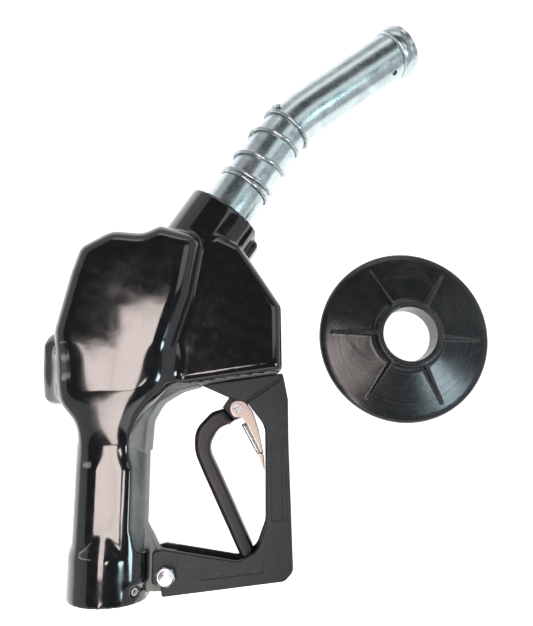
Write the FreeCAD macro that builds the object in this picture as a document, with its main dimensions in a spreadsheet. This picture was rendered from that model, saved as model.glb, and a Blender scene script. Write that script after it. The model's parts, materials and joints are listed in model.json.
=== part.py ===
import FreeCAD, Part

import math
import os
import re

from FreeCAD import Placement, Rotation, Vector

# A fuel nozzle that lies on its side, with the splash guard beside it.  Millimetres.
# Origin: centre of the hose inlet's end face.  +Y runs up the handle towards the spout,
# +X towards the lever guard, +Z out of the side that faces up.  z = 0 is the mid-plane.

DIMENSIONS = {
    "cover_wall": 3.0,
    "dome_depth": 66.0,
    "bell_depth": 48.0,
    "handle_depth": 40.0,
    "neck_od": 48.0,
    "boss_od": 43.0,
    "inlet_od": 46.0,
    "inlet_thread_d": 29.4,
    "inlet_thread_length": 22.0,
    "handle_bore": 24.0,
    "spout_od": 30.16,
    "spout_wall": 1.65,
    "spout_bend": 20.1,
    "bend_radius": 110.0,
    "spout_reach": 95.0,
    "sleeve_od": 31.6,
    "collar_od": 34.1,
    "collar_length": 8.0,
    "wire_d": 2.2,
    "coil_pitch": 16.2,
    "coil_turns": 3.0,
    "sensing_od": 3.8,
    "sensing_bore": 2.6,
    "stem_d": 8.0,
    "running_gap": 0.05,
    "valve_bore": 29.0,
    "seat_bore": 17.0,
    "poppet_d": 26.0,
    "lever_plate": 8.0,
    "grip_depth": 14.0,
    "guard_depth": 20.0,
    "channel_depth": 15.2,
    "bolt_d": 6.0,
    "bolt_flats": 10.0,
    "pivot_pin_d": 5.0,
    "trip_stem_d": 10.0,
    "latch_pin_d": 4.0,
    "diaphragm_d": 34.0,
    "clip_sheet": 1.4,
    "clip_width": 14.0,
    "rivet_d": 4.0,
    "disc_od": 112.6,
    "disc_bore": 34.6,
    "disc_hub_od": 43.0,
    "disc_hub_length": 20.0,
    "disc_sheet": 3.0,
}

doc = FreeCAD.newDocument("FuelNozzle")
sheet = doc.addObject("Spreadsheet::Sheet", "Dims")
for row, (alias, value) in enumerate(DIMENSIONS.items(), start=1):
    sheet.set(f"A{row}", alias)
    sheet.set(f"B{row}", str(value))
    sheet.setAlias(f"B{row}", alias)
doc.recompute()

X = Vector(1, 0, 0)
Y = Vector(0, 1, 0)
Z = Vector(0, 0, 1)

# The spout's two straight runs meet at BEND.  UP_LOW points along the lower run towards
# the tip, UP_HIGH along the upper run, and SIDE_LOW and SIDE_HIGH towards the lever side.
LOW_ANGLE = 56.4
HIGH_ANGLE = LOW_ANGLE - DIMENSIONS["spout_bend"]
BEND = Vector(102.8, 284.5, 0)


def heading(degrees):
    angle = math.radians(degrees)
    return Vector(math.cos(angle), math.sin(angle), 0)


UP_LOW = heading(LOW_ANGLE)
UP_HIGH = heading(HIGH_ANGLE)
SIDE_LOW = heading(LOW_ANGLE - 90)
SIDE_HIGH = heading(HIGH_ANGLE - 90)

# The body's lower face and the trip stem's axis, which stands square to it.
FLOOR_SLOPE = 8.3
UP_TRIP = heading(90 + FLOOR_SLOPE)
SIDE_TRIP = heading(FLOOR_SLOPE)

PIVOT = Vector(72, 142, 0)
VALVE_Y = 128
NECK_END = 71.5
GUARD_BOLT = Vector(33.5, 13.7, 0)
CLIP_RIVET = Vector(71.8, 104.6, 0)
DISC_CENTRE = Vector(181, 151.2, 0)
DISC_FLOOR = -DIMENSIONS["dome_depth"] / 2


def neck(distance, side=0.0, height=0.0):
    """A point in the neck or lower spout: so far behind the bend, so far to the side."""
    return BEND - UP_LOW * distance + SIDE_LOW * side + Z * height


def spout(distance, side=0.0, height=0.0):
    """A point on the spout's upper run, so far past the bend."""
    return BEND + UP_HIGH * distance + SIDE_HIGH * side + Z * height


def trip(distance, side=0.0, height=0.0):
    """A point on the trip stem's axis, so far above the lever's pivot."""
    return PIVOT + UP_TRIP * distance + SIDE_TRIP * side + Z * height


def valve(x, height=0.0):
    """A point on the main valve's axis."""
    return Vector(x, VALVE_Y, height)


def formula(text):
    """Puts the sheet's name before each alias."""
    return re.sub(r"[a-z]+(?:_[a-z]+)+", lambda word: "Dims." + word.group(0), str(text))


def bind(item, **formulas):
    for name, text in formulas.items():
        item.setExpression(name, formula(text))
    return item


def cylinder(name, radius, height, base, along):
    item = bind(doc.addObject("Part::Cylinder", name), Radius=radius, Height=height)
    item.Placement = Placement(base, Rotation(Z, along))
    return item


def cone(name, low_radius, high_radius, height, base, along):
    item = doc.addObject("Part::Cone", name)
    bind(item, Radius1=low_radius, Radius2=high_radius, Height=height)
    item.Placement = Placement(base, Rotation(Z, along))
    return item


def box(name, length, width, height, centre, along=X):
    """A box about its centre, with its length along a direction in the mid-plane."""
    item = bind(doc.addObject("Part::Box", name), Length=length, Width=width, Height=height)
    doc.recompute()
    turn = Rotation(X, along)
    half = Vector(item.Length.Value, item.Width.Value, item.Height.Value) * 0.5
    item.Placement = Placement(centre - turn.multVec(half), turn)
    return item


def ball(name, radius, centre):
    item = bind(doc.addObject("Part::Sphere", name), Radius=radius)
    item.Placement = Placement(centre, Rotation())
    return item


def torus(name, ring, wire, centre, along):
    item = bind(doc.addObject("Part::Torus", name), Radius1=ring, Radius2=wire)
    item.Placement = Placement(centre, Rotation(Z, along))
    return item


def hexagon(name, flats, height, base, along):
    item = bind(doc.addObject("Part::Prism", name), Circumradius=f"({flats}) / 1.7321", Height=height)
    item.Polygon = 6
    item.Placement = Placement(base, Rotation(Z, along))
    return item


def fuse(name, *shapes):
    item = doc.addObject("Part::MultiFuse", name)
    item.Shapes = list(shapes)
    item.Refine = True
    return item


def cut(name, base, *tools):
    """Takes the tools away from base, one after another; the last cut has the name."""
    for number, tool in enumerate(tools, start=1):
        last = number == len(tools)
        item = doc.addObject("Part::Cut", name if last else f"{name}_step_{number}")
        item.Base = base
        item.Tool = tool
        base = item
    return base


def round_edges(name, base, radius, chosen):
    """Rounds the edges of base that the chosen test accepts."""
    doc.recompute()
    item = doc.addObject("Part::Fillet", name)
    item.Base = base
    edges = enumerate(base.Shape.Edges, start=1)
    item.Edges = [(number, radius, radius) for number, edge in edges if chosen(edge)]
    return item


def ring(name, outer, inner, length, base, along):
    return cut(name, cylinder(name + "_outside", outer, length, base, along),
               cylinder(name + "_inside", inner, length, base, along))


def coil(name, ring_radius, wire_radius, pitch, turns, base, along):
    """An open coil spring: a round wire swept along a helix."""
    helix = doc.addObject("Part::Helix", name + "_path")
    bind(helix, Radius=ring_radius, Pitch=pitch, Height=f"({pitch}) * ({turns})")
    wire = bind(doc.addObject("Part::Circle", name + "_wire"), Radius=wire_radius)
    doc.recompute()
    wire.Placement = Placement(Vector(helix.Radius.Value, 0, 0), Rotation(Z, Y))
    sweep = doc.addObject("Part::Sweep", name)
    sweep.Sections = [wire]
    sweep.Spine = (helix, ["Edge1"])
    sweep.Solid = True
    sweep.Frenet = True
    sweep.Placement = Placement(base, Rotation(Z, along))
    return sweep


def inset(corners, depth):
    """Moves every side of an outline inwards.  A corner is (x, y) or (x, y, radius)."""
    points = [Vector(corner[0], corner[1], 0) for corner in corners]
    count = len(points)
    area = sum(points[i - 1].cross(points[i]).z for i in range(count))
    inward = 1 if area > 0 else -1
    moved = []
    for i, corner in enumerate(corners):
        before = (points[i] - points[i - 1]).normalize()
        after = (points[(i + 1) % count] - points[i]).normalize()
        turn = inward * before.cross(after).z
        normals = Z.cross(before) + Z.cross(after)
        shift = normals * (inward * depth * 2 / normals.Length ** 2)
        radius = corner[2] if len(corner) > 2 else 0
        if radius:
            radius = max(radius - math.copysign(depth, turn), 0.5)
        place = points[i] + shift
        moved.append((place.x, place.y, radius))
    return moved


def sketch_outline(sketch, corners):
    """Draws a closed outline of lines, with an arc at each corner that has a radius."""
    points = [Vector(corner[0], corner[1], 0) for corner in corners]
    count = len(points)
    starts, ends, arcs = [], [], []
    for i, corner in enumerate(corners):
        radius = corner[2] if len(corner) > 2 else 0
        back = (points[i - 1] - points[i]).normalize()
        ahead = (points[(i + 1) % count] - points[i]).normalize()
        half = back.getAngle(ahead) / 2
        if not radius:
            starts.append(points[i])
            ends.append(points[i])
            continue
        reach = radius / math.tan(half)
        starts.append(points[i] + back * reach)
        ends.append(points[i] + ahead * reach)
        centre = points[i] + (back + ahead).normalize() * (radius / math.sin(half))
        middle = centre + (points[i] - centre).normalize() * radius
        arcs.append(Part.Arc(starts[i], middle, ends[i]))
    for i in range(count):
        sketch.addGeometry(Part.LineSegment(ends[i - 1], starts[i]), False)
    for arc in arcs:
        sketch.addGeometry(arc, False)


def plate(name, corners, thickness, edge_radius=0.0, offset=0.0):
    """A flat body about the plane z = offset, its rim rounded where edge_radius is given."""
    body = doc.addObject("PartDesign::Body", name)
    planes = {item.Role: item for item in body.Origin.OriginFeatures}
    sketch = body.newObject("Sketcher::SketchObject", name + "_outline")
    sketch.AttachmentSupport = [(planes["XY_Plane"], "")]
    sketch.MapMode = "FlatFace"
    sketch_outline(sketch, corners)
    pad = body.newObject("PartDesign::Pad", name + "_pad")
    pad.Profile = sketch
    pad.Midplane = True
    pad.setExpression("Length", formula(thickness))
    doc.recompute()
    if edge_radius:
        rim = [f"Edge{number}" for number, edge in enumerate(pad.Shape.Edges, start=1)
               if abs(edge.BoundBox.ZMax - edge.BoundBox.ZMin) < 0.01]
        fillet = body.newObject("PartDesign::Fillet", name + "_edges")
        fillet.Base = (pad, rim)
        fillet.Radius = edge_radius
        doc.recompute()
    body.Placement = Placement(Z * offset, Rotation())
    return body


def bent_bar(name, radius, low_length, high_length, side=0.0):
    """A round bar that follows the spout, at a distance to the lever side of its axis."""
    bend_radius = DIMENSIONS["bend_radius"]
    run = bend_radius * math.tan(math.radians(DIMENSIONS["spout_bend"] / 2))
    low = cylinder(name + "_low", radius, f"{low_length} - {run}", neck(low_length, side), UP_LOW)
    high = cylinder(name + "_high", radius, f"{high_length} - {run}", spout(run, side), UP_HIGH)
    elbow = doc.addObject("Part::Torus", name + "_elbow")
    bind(elbow, Radius1=f"bend_radius - {side}", Radius2=radius, Angle3="spout_bend")
    elbow.Placement = Placement(neck(run) + SIDE_LOW * bend_radius, Rotation(Z, HIGH_ANGLE + 90))
    return fuse(name, low, elbow, high)


def floor_height(x):
    """The height of the body's lower face at x."""
    return 117.6 + (x - 45.8) * math.tan(math.radians(FLOOR_SLOPE))


# Outlines seen from the side, as (x, y, corner radius).

DOME = [(-16.8, 84), (-17.8, 97, 8), (-27.6, 107.5, 5), (-30.8, 147.5, 12), (-23.4, 180.5, 12),
        (-18.6, 196, 8), (-4.4, 204.2, 6), (0.4, 206, 8), (16.8, 204.6, 12), (27, 209.4),
        (52, 203, 8), (45.8, 166.9, 20), (36.5, 137, 12), (36, 117),
        (30, 110.3), (23.2, 104.2), (17.6, 97.5), (14.6, 84)]

THROAT = [(0, 80), (20.4, 80), (21.3, 97, 10), (27, 107.5, 12), (39, 114.4, 14),
          (49.5, 117.2), (49.5, 126), (0, 126)]


def bell_outline(drop):
    """The mechanism housing beside the dome; drop lowers its floor."""
    return [(30, floor_height(30) - drop), (97.6, floor_height(97.6) - drop, 2),
            (97.1, 163.2, 4), (73.6, 198.2, 3), (60, 205), (28, 192)]


GUARD = [(50.5, 117.9), (98.3, floor_height(98.3) - 0.4, 1.5), (101.3, 109.5, 6), (101.5, 85),
         (103.7, 15, 5.5), (99, 9.8, 5), (31.2, 2.2, 1), (30.4, 8, 1), (25.4, 9, 2), (25.4, 26, 1.5),
         (31, 27.4, 2), (73, 20.6, 6), (83.5, 26, 8), (88.6, 40, 12), (88.4, 94, 14),
         (77.2, 108.3, 2), (67.9, 110.3, 1.5)]

CHANNEL = [(38.4, 8), (96, 14, 3), (97.4, 84), (97.2, 104), (86, 112), (86, 135), (55, 135),
           (40, 119), (38.4, 30)]

GRIP = [(63.1, 105.4, 1.5), (54.8, 99, 9), (46.5, 87.4, 13), (50.6, 72, 20), (73, 23.8, 2),
        (75.5, 18.8, 2.5), (82.6, 21.8, 2.5), (81.6, 26), (59.6, 73.6, 12), (56.2, 83, 6),
        (63.4, 93, 8), (69.8, 97.6, 1)]

LEVER_TOP = [(64.5, 149.6, 7), (79.5, 149.6, 7), (79.5, 118, 4), (77.6, 104, 4), (74.2, 99.2, 2),
             (69.9, 97.5), (63.1, 105.2), (66.8, 110.4, 2), (64.5, 119, 4)]

CLIP = [(67.2, 104.8, 4), (69.6, 109.4, 4), (76, 108.6, 4), (81, 102.6, 8), (84.6, 92, 12),
        (86.7, 80.4, 1.2), (84.2, 78.2, 1), (75, 93.9, 1), (75.2, 99.2, 1.5), (69, 99.7, 3)]

CLIP_SPINE = [(75, 93.9), (84.2, 78.2), (85.7, 79.1), (76.5, 94.8)]

CLIP_TIP = [(83.9, 79.6), (84.9, 75), (87.7, 67.9, 0.3), (87.1, 76.5, 1), (86.9, 81)]

COMPARTMENT = [(54, 112), (90, 117), (90, 147, 3), (84, 153.5, 3), (60, 153.5, 3), (54, 147, 3)]

LUG = [(16, 4), (30.5, 4, 2), (37.3, 8, 4), (37.3, 22, 4), (28, 26.2, 3), (24.4, 33, 6), (18, 44)]


def handle_bar(name, left, right, depth, radius):
    """The handle between the inlet and the throat: a bar with rounded long edges."""
    middle = Vector((left + right) / 2, 60, 0)
    bar = box(name + "_bar", right - left, 100, depth, middle)
    return round_edges(name, bar, radius, lambda edge: edge.BoundBox.YLength > 90)


def dome_slopes(name, reduce):
    """Two wedges that slope the dome's faces down to the handle over the last 32 mm."""
    foot = DIMENSIONS["handle_depth"] / 2 - reduce - 1
    rise = DIMENSIONS["dome_depth"] / 2 - reduce + 1 - foot
    tilt = math.degrees(math.atan2(rise, 32))
    width, length, thickness = 120, 90, 30
    wedges = []
    for side in (1, -1):
        wedge = box(f"{name}_{side + 1}", width, length, thickness, Vector(0, 0, 0))
        turn = Rotation(X, side * tilt)
        corner = turn.multVec(Vector(-width / 2, -length / 3, 0 if side > 0 else -thickness))
        wedge.Placement = Placement(Vector(0, 84, side * foot) + corner, turn)
        wedges.append(wedge)
    return wedges


def flare(name, reduce):
    """The round inlet end and the cone that joins it to the handle."""
    radius = f"inlet_od / 2 - {reduce}"
    end = cylinder(name + "_end", radius, 24, Vector(0, 0, 0), Y)
    taper = cone(name + "_taper", radius, f"handle_depth / 2 - {reduce} - 1", 18, Vector(0, 24, 0), Y)
    return fuse(name, end, taper)


def screw_lug(name, reduce):
    """The block on the neck's side that holds the spout screw."""
    lug = box(name + "_block", 16 - reduce, 28.5 - reduce, 16 - reduce,
              neck(83 + reduce / 2, (28.5 - reduce) / 2, -8), UP_LOW)
    return round_edges(name, lug, 3, lambda edge: edge.Length > 1)


def make_casting():
    """The cast body: handle, dome, mechanism housing, neck, boss and lug, then its bores."""
    wall = DIMENSIONS["cover_wall"]
    dome = plate("casting_dome", inset(DOME, wall), "dome_depth - 2 * cover_wall - 8")
    crown = plate("casting_crown", inset(DOME, wall + 4), "dome_depth - 2 * cover_wall")
    dome = cut("casting_head", fuse("casting_head_blank", dome, crown), *dome_slopes("casting_slope", wall))
    bell = plate("casting_bell", inset(bell_outline(wall), wall), "bell_depth - 2 * cover_wall", 3)
    handle = handle_bar("casting_handle", -17, 20.4, "handle_depth - 2 * cover_wall", 12)
    throat = plate("casting_throat", THROAT, "handle_depth - 2 * cover_wall", 4)
    inlet = flare("casting_inlet", wall)
    collar = cylinder("casting_neck", "neck_od / 2 - cover_wall", 48, neck(NECK_END + 48), UP_LOW)
    boss = cylinder("casting_boss", "boss_od / 2 - cover_wall", 20, valve(-34), X)
    lug = plate("casting_lug", LUG, "channel_depth - 4", 1)
    block = screw_lug("casting_screw_lug", wall)
    solid = fuse("casting_solid", dome, bell, handle, throat, inlet, collar, boss, lug, block)
    bores = [
        cylinder("bore_thread", "inlet_thread_d / 2", "inlet_thread_length", Vector(0, 0, 0), Y),
        cylinder("bore_handle", "handle_bore / 2", 125, Vector(0, 0, 0), Y),
        cylinder("bore_valve", "valve_bore / 2", 42, valve(-34), X),
        cylinder("bore_seat_ring", "seat_bore / 2 + 2.5", 4, valve(7.5), X),
        cylinder("bore_seat", "seat_bore / 2", 10, valve(8), X),
        cylinder("bore_outlet", 10.5, 20, valve(16), X),
        cylinder("bore_stem", "stem_d / 2 + running_gap", 20, valve(36), X),
        cylinder("bore_packing", 7, 14, valve(40), X),
        cylinder("bore_passage", 10.5, 62, valve(27), Vector(11, 59, 0)),
        cylinder("bore_neck", "sleeve_od / 2 + running_gap", 40.5, neck(NECK_END + 40.5), UP_LOW),
        cylinder("bore_neck_base", 12, 24, neck(NECK_END + 52), UP_LOW),
        cylinder("bore_spout_seal", 17.5, 2.2, neck(96.1), UP_LOW),
        plate("bore_compartment", COMPARTMENT, "channel_depth + 1.6"),
        cylinder("bore_trip", "trip_stem_d / 2 + running_gap", 20, trip(8), UP_TRIP),
        cylinder("bore_trip_spring", 8, 10, trip(15.5), UP_TRIP),
        cylinder("bore_diaphragm", "diaphragm_d / 2 + 0.3", 12.5, trip(24.5), UP_TRIP),
        box("bore_diaphragm_side", 26, 12.5, "diaphragm_d", trip(30.75, 19), SIDE_TRIP),
        cylinder("bore_guard_bolt", "bolt_d / 2 + 0.2", 30, GUARD_BOLT - Z * 15, Z),
        cylinder("bore_spout_screw", 2.5, 16, neck(82, 13.5, -8), SIDE_LOW),
        cylinder("bore_inlet_screw", 2.1, 8, inlet_screw_foot(), inlet_screw_axis()),
        cylinder("bore_guard_screw", 2, 17, guard_screw_foot(), UP_TRIP),
    ]
    bores += [cylinder(f"bore_cap_screw_{i}", 1.25, 9, foot, UP_TRIP)
              for i, foot in enumerate(cap_screw_feet())]
    return cut("body_casting", solid, *bores)


def make_cover(casting_solid):
    """The moulded hand cover: the same forms one wall larger, less the casting inside."""
    dome = plate("cover_dome", DOME, "dome_depth", 11)
    dome = cut("cover_head", dome, *dome_slopes("cover_slope", 0))
    bell = plate("cover_bell", bell_outline(0), "bell_depth", 6)
    handle = handle_bar("cover_handle", -20, 23.4, "handle_depth", 15)
    inlet = flare("cover_inlet", 0)
    collar = cylinder("cover_neck", "neck_od / 2", 48, neck(NECK_END + 48), UP_LOW)
    boss = cylinder("cover_boss", "boss_od / 2", 22, valve(-39.5), X)
    boss = round_edges("cover_boss_round", boss, 4, lambda edge: edge.CenterOfMass.x < -39)
    block = screw_lug("cover_screw_lug", 0)
    solid = fuse("cover_solid", dome, bell, handle, inlet, collar, boss, block)
    front = plate("cover_front", [(14.6, 40, 3), (14.4, 89), (17.6, 97.5), (23.2, 104.2), (30, 110.3),
                                  (36, floor_height(36)), (110, floor_height(110)), (110, 27),
                                  (18, 27, 4)], 80)
    tools = [
        front,
        casting_solid,
        cylinder("cover_cap_space", "boss_od / 2 - cover_wall", 14, valve(-37.2), X),
        cylinder("cover_spout_hole", "sleeve_od / 2 + 0.4", 60, neck(NECK_END + 40), UP_LOW),
        cylinder("cover_inlet_hole", "inlet_od / 2 - cover_wall", 30, Vector(0, -5, 0), Y),
        cylinder("cover_diaphragm_space", "diaphragm_d / 2 + 0.3", 12.5, trip(24.5), UP_TRIP),
        cylinder("cover_screw_hole", 2.4, 12, inlet_screw_foot(), inlet_screw_axis()),
        cylinder("cover_spout_screw_space", 2.5, 13.5, neck(82, 13.5, -8), SIDE_LOW),
        plate("cover_floor_slot", inset(COMPARTMENT, 0.5), "channel_depth + 1.6"),
        cylinder("cover_guard_screw_space", 2.4, 12, guard_screw_foot() + UP_TRIP * 6, UP_TRIP),
    ]
    return cut("hand_cover", solid, *tools)


def inlet_screw_axis():
    return Vector(math.cos(math.radians(40)), 0, math.sin(math.radians(40)))


def inlet_screw_foot():
    return Vector(0, 6.8, 0) + inlet_screw_axis() * 16.5


def guard_screw_foot():
    return Vector(93.6, 113.5, 0)


def cap_screw_feet():
    """Four places on the diaphragm cap's flange."""
    places = []
    for quarter in range(4):
        angle = math.radians(45 + 90 * quarter)
        places.append(trip(20, 14.7 * math.cos(angle), 14.7 * math.sin(angle)))
    return places


def make_inlet_screw():
    shank = cylinder("inlet_screw_shank", 2.1, 6.2, inlet_screw_foot(), inlet_screw_axis())
    socket = hexagon("inlet_screw_socket", 2, 1.6, inlet_screw_foot() + inlet_screw_axis() * 4.6,
                     inlet_screw_axis())
    return cut("inlet_screw", shank, socket)


def make_main_valve():
    """The main valve along X: cap, seal, spring, poppet, disc, stem, seat, packing and nut."""
    flange = cylinder("poppet_cap_flange", "boss_od / 2 - cover_wall - 0.5", 2.2, valve(-37), X)
    plug = cylinder("poppet_cap_plug", "valve_bore / 2 - running_gap", 10.8, valve(-34.8), X)
    pocket = cylinder("poppet_cap_pocket", 9.4, 8, valve(-32), X)
    cut("poppet_cap", fuse("poppet_cap_blank", flange, plug), pocket)
    ring("cap_seal", 17.4, "valve_bore / 2", 0.8, valve(-34.8), X)
    coil("main_spring", 7.5, 0.8, 4.4, 5.5, valve(-31), X)

    back = cylinder("poppet_back", "poppet_d / 2", 4, valve(-5.8), X)
    skirt = cylinder("poppet_skirt", 11, 6.5, valve(-1.8), X)
    tail = cylinder("poppet_tail", 4.5, 8, valve(-13.8), X)
    stem_bore = cylinder("poppet_bore", "stem_d / 2 - 1", 9, valve(-4.3), X)
    cut("main_poppet", fuse("poppet_blank", back, skirt, tail), stem_bore)
    ring("poppet_disc", 10.5, "stem_d / 2", 3, valve(4.7), X)
    shank = cylinder("stem_shank", "stem_d / 2 - 1", 6, valve(-1.3), X)
    rod = cylinder("stem_rod", "stem_d / 2", 55.5, valve(4.7), X)
    nose = ball("stem_nose", "stem_d / 2", valve(60.2))
    fuse("main_stem", shank, rod, nose)

    ring("valve_seat", "seat_bore / 2 + 2.5", "seat_bore / 2", 3.5, valve(8), X)
    ring("stem_packing", 7, "stem_d / 2 + running_gap", 5, valve(40), X)
    nut = fuse("packing_nut_blank", cylinder("packing_nut_thread", 7, 9, valve(45), X),
               hexagon("packing_nut_head", 15, 2.8, valve(54), X))
    cut("packing_nut", nut, cylinder("packing_nut_bore", "stem_d / 2 + running_gap", 14, valve(44), X))


def make_trip():
    """The trip stem that carries the lever's pivot, its latch, and the diaphragm above it."""
    gap = "lever_plate + 0.6"
    cheek = box("fork_block", 14.4, 13.2, "channel_depth - 0.4", trip(2.4), UP_TRIP)
    cheek = round_edges("fork_round", cheek, 4, lambda edge: edge.BoundBox.ZLength > 10)
    shaft = cylinder("trip_shaft", "trip_stem_d / 2", 14, trip(9), UP_TRIP)
    collar = cylinder("trip_collar", 7.6, 1.4, trip(22.8), UP_TRIP)
    blank = fuse("trip_blank", cheek, shaft, collar)
    sides = ball_directions()
    balls = [trip(13.5) + side * 3.5 for side in sides]
    pockets = [cylinder(f"ball_pocket_{i}", 1.5, 4.2, trip(13.5) + side * 1.9, side)
               for i, side in enumerate(sides)]
    cut("trip_stem", blank, box("fork_gap", 20, 20, gap, trip(-1.6), UP_TRIP),
        cylinder("fork_pin_hole", "pivot_pin_d / 2", 30, PIVOT - Z * 15, Z),
        cylinder("trip_bore", "latch_pin_d / 2 + running_gap", 14, trip(11), UP_TRIP), *pockets)
    cylinder("lever_pin", "pivot_pin_d / 2", "channel_depth - 0.2", PIVOT - Z * 7.5, Z)
    fuse("latch_balls", *[ball(f"latch_ball_{i}", 1.45, place) for i, place in enumerate(balls)])
    coil("trip_spring", 6.5, 0.5, 2.4, 2.5, trip(16.2), UP_TRIP)

    rod = cylinder("latch_rod", "latch_pin_d / 2", 15.5, trip(11.8), UP_TRIP)
    disc = cylinder("latch_disc", 10, 1.4, trip(25.9), UP_TRIP)
    fuse("latch_pin", rod, disc)
    blank = ring("diaphragm_blank", "diaphragm_d / 2", "latch_pin_d / 2 + 0.3", 1, trip(24.5), UP_TRIP)
    coil("diaphragm_spring", 6, 0.5, 2.2, 3, trip(27.9), UP_TRIP)
    flange = cylinder("cap_flange", "diaphragm_d / 2", 3, trip(25.5), UP_TRIP)
    crown = cylinder("cap_crown", 13.4, 8, trip(28.5), UP_TRIP)
    hollow = cylinder("cap_hollow", 11.6, 9.6, trip(25.5), UP_TRIP)
    clearances = [cylinder(f"cap_clearance_{i}", 2.6, 12, foot + UP_TRIP * 8.5, UP_TRIP)
                  for i, foot in enumerate(cap_screw_feet())]
    holes = [cylinder(f"cap_hole_{i}", 1.25, 12, foot, UP_TRIP) for i, foot in enumerate(cap_screw_feet())]
    cut("diaphragm_cap", fuse("cap_blank", flange, crown), hollow, *clearances, *holes)
    screws = []
    for i, foot in enumerate(cap_screw_feet()):
        screws.append(cylinder(f"cap_screw_shank_{i}", 1.25, 8.6, foot, UP_TRIP))
        screws.append(cylinder(f"cap_screw_head_{i}", 2.1, 1.8, foot + UP_TRIP * 8.5, UP_TRIP))
    fuse("cap_screws", *screws)
    holes = [cylinder(f"diaphragm_hole_{i}", 1.25, 12, foot, UP_TRIP)
             for i, foot in enumerate(cap_screw_feet())]
    cut("diaphragm", blank, *holes)


def ball_directions():
    """Three directions square to the trip stem, a third of a turn apart."""
    turns = [Rotation(UP_TRIP, 120 * third) for third in range(3)]
    return [turn.multVec(SIDE_TRIP) for turn in turns]


def make_spout():
    """The spout: tube, sleeve, collar, wire spring, seal, screw, sensing tube and check valve."""
    tube = bent_bar("spout_outside", "spout_od / 2", 98, DIMENSIONS["spout_reach"])
    bore = bent_bar("spout_bore", "spout_od / 2 - spout_wall", 98, DIMENSIONS["spout_reach"])
    port_axis = (SIDE_HIGH * 0.9 + Z * 0.436).normalize()
    port = cylinder("spout_port", 2, 20, spout(75.5), port_axis)
    cut("spout_tube", tube, bore, port)
    ring("spout_sleeve", "sleeve_od / 2", "spout_od / 2", 47.5, neck(99.5), UP_LOW)
    collar = cylinder("collar_outside", "collar_od / 2", "collar_length", spout(84), UP_HIGH)
    collar = round_edges("collar_round", collar, 1.2, lambda edge: edge.Length > 20)
    cut("spout_collar", collar, cylinder("collar_bore", "spout_od / 2", 12, spout(82), UP_HIGH))
    wire_ring = "spout_od / 2 + wire_d / 2 + 0.15"
    active = coil("spring_coil", wire_ring, "wire_d / 2", "coil_pitch", "coil_turns", neck(50.6), UP_LOW)
    active.Placement = Placement(neck(50.6), Rotation(SIDE_LOW, Z, UP_LOW, "ZXY"))
    foot = torus("spring_foot", wire_ring, "wire_d / 2", neck(50.4), UP_LOW)
    fuse("spout_spring", active, foot)
    ring("spout_seal", 17.4, "sleeve_od / 2", 2, neck(96), UP_LOW)
    cylinder("spout_screw", 2.4, 10, neck(82, 15.2, -8), SIDE_LOW)

    seat = cylinder("check_seat_ring", "sleeve_od / 2", 11, neck(111.5), UP_LOW)
    throat = cone("check_seat_bore", 10, 8, 11, neck(111.5), UP_LOW)
    cut("check_seat", seat, throat)
    head = cone("check_head", 8.8, 9.8, 3, neck(100.2), UP_LOW)
    rod = cylinder("check_rod", 2, 22, neck(98), UP_LOW)
    fuse("check_poppet", head, rod)
    coil("check_spring", 4.5, 0.5, 3, 5, neck(96.4), UP_LOW)
    tube = bent_bar("sensing_outside", "sensing_od / 2", 81, 76, 11.2)
    bore = bent_bar("sensing_inside", "sensing_bore / 2", 81, 76, 11.2)
    cut("sensing_tube", tube, bore)
    web = cylinder("guide_disc", "spout_od / 2 - spout_wall", 2.5, neck(80.5), UP_LOW)
    holes = [cylinder("guide_bore", "2 + running_gap", 6, neck(82), UP_LOW),
             cylinder("guide_sensing_hole", "sensing_od / 2", 6, neck(82, 11.2), UP_LOW)]
    for turn in (90, 180, 270):
        place = Rotation(UP_LOW, turn).multVec(SIDE_LOW) * 8.2
        holes.append(cylinder(f"guide_window_{turn}", 3.6, 6, neck(82) + place, UP_LOW))
    cut("check_guide", web, *holes)


def make_guard():
    """The lever guard: two cheeks and an outer wall, its bolt and nut, and its front screw."""
    blank = plate("guard_blank", GUARD, "guard_depth", 1.2)
    channel = plate("guard_channel", CHANNEL, "channel_depth")
    slot = plate("guard_lug_slot", [(20, 0), (20, 40), (41, 40), (41, 8)], "channel_depth - 3.6")
    bolt_hole = cylinder("guard_bolt_hole", "bolt_d / 2 + 0.2", 30, GUARD_BOLT - Z * 15, Z)
    screw_hole = cylinder("guard_screw_hole", 2, 20, guard_screw_foot(), UP_TRIP)
    recess = cylinder("guard_screw_recess", 3.8, 12, guard_screw_foot() - UP_TRIP * 12, UP_TRIP)
    panels = []
    for side in (1, -1):
        height = side * DIMENSIONS["guard_depth"] / 2
        panels.append(plate(f"post_panel_{side + 1}", [(91.6, 42), (98, 42), (97.6, 87), (91.2, 87)], 1,
                            0, height))
        panels.append(plate(f"bar_panel_{side + 1}", [(53, 10.8), (87, 14.7), (87, 20.6), (53, 17)], 1,
                            0, height))
    cut("lever_guard", blank, channel, slot, bolt_hole, screw_hole, recess, *panels)
    head = hexagon("bolt_head", "bolt_flats", 4, GUARD_BOLT + Z * 10, Z)
    shank = cylinder("bolt_shank", "bolt_d / 2", 27, GUARD_BOLT - Z * 16.5, Z)
    fuse("guard_bolt", head, shank)
    nut = hexagon("nut_blank", "bolt_flats", 5, GUARD_BOLT - Z * 15, Z)
    cut("guard_nut", nut, cylinder("nut_bore", "bolt_d / 2", 8, GUARD_BOLT - Z * 17, Z))
    fuse("guard_screw", cylinder("guard_screw_shank", 2, 16, guard_screw_foot(), UP_TRIP),
         cylinder("guard_screw_head", 3.5, 2.4, guard_screw_foot() - UP_TRIP * 2.4, UP_TRIP))


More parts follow.
